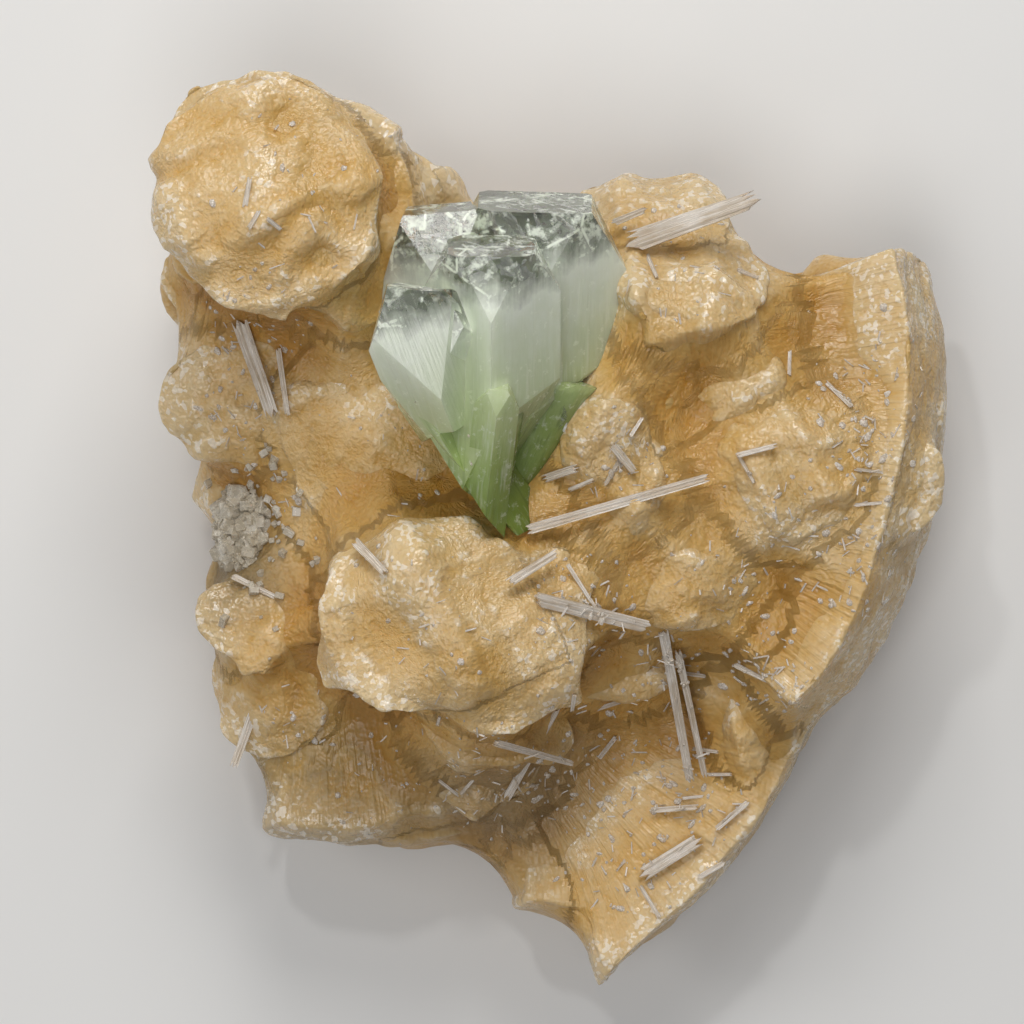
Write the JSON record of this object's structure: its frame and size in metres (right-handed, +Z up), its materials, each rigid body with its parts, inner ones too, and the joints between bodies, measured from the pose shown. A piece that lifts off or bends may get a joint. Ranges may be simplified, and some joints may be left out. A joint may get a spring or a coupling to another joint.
{
  "type": "mineral specimen",
  "caption": "Pale green apophyllite crystals with glass-clear ends on peach stilbite sheaves with white scolecite needles, lying on the broken back.",
  "frame": {"origin": "the middle of the flat that the specimen lies on", "axes": "+Z up, out of the rock towards the crystals, +Y towards the end with the apophyllite's tips, +X to the right"},
  "size_m": [0.0887, 0.1009, 0.0481],
  "materials": {
    "peach_stilbite": "satin",
    "green_apophyllite": "polished",
    "white_scolecite": "satin",
    "grey_druse": "satin"
  },
  "bodies": {
    "root": {"apophyllite_cluster": "green_apophyllite", "needle_across": "white_scolecite", "needle_beside_bundle": "white_scolecite", "needle_blade": "white_scolecite", "needle_bundle_top": "white_scolecite", "needle_crescent": "white_scolecite", "needle_crossed": "white_scolecite", "needle_edge_low": "white_scolecite", "needle_flank": "white_scolecite", "needle_hollow": "white_scolecite", "needle_hollow_low": "white_scolecite", "needle_in_notch": "white_scolecite", "needle_lath_left": "white_scolecite", "needle_left_edge": "white_scolecite", "needle_long": "white_scolecite", "needle_lower_long": "white_scolecite", "needle_lower_side": "white_scolecite", "needle_mass": "white_scolecite", "needle_on_knob": "white_scolecite", "needle_plate": "white_scolecite", "needle_rim": "white_scolecite", "needle_root": "white_scolecite", "needle_short": "white_scolecite", "needle_slab": "white_scolecite", "needle_thin_left": "white_scolecite", "needle_valley": "white_scolecite", "needle_wedge": "white_scolecite", "stilbite_matrix": "peach_stilbite", "white_druse": "grey_druse"}
  },
  "joints": []
}
